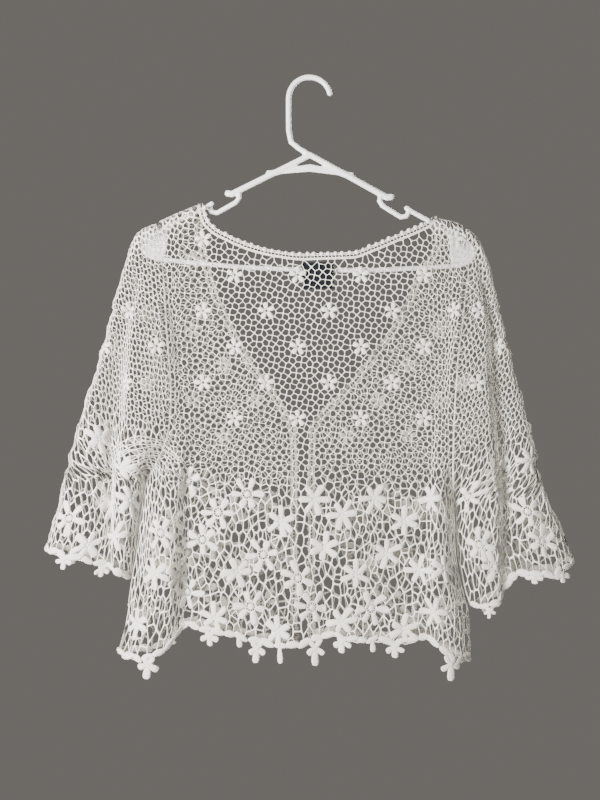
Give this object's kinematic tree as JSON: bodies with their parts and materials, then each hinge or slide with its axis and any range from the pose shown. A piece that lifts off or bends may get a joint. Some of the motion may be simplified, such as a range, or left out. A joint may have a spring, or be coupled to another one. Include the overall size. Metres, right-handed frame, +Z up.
{
  "type": "crochet lace cardigan on a plastic clothes hanger",
  "caption": "Open-fronted crochet lace cardigan with wide elbow sleeves, a flowered border and picot edging, hung on a tubular plastic hanger.",
  "frame": {"origin": "inside top of the hanger's hook, where it bears on a rail", "axes": "+Z up, +X to the right as seen from the garment's back, +Y towards its open fronts"},
  "size_m": [0.6331, 0.0515, 0.7275],
  "materials": {
    "lace": "matt cotton crochet",
    "edging": "matt cotton crochet",
    "label": "woven, matt",
    "hanger": "smooth, glossy"
  },
  "bodies": {
    "root": {"back": "lace", "back_border": "lace", "front_left": "lace", "front_right": "lace", "sleeve_left_near": "lace", "sleeve_left_far": "lace", "sleeve_right_near": "lace", "sleeve_right_far": "lace", "edging_neck": "edging", "edging_front_left": "edging", "edging_front_right": "edging", "label": "label", "hanger": "hanger"}
  },
  "joints": []
}
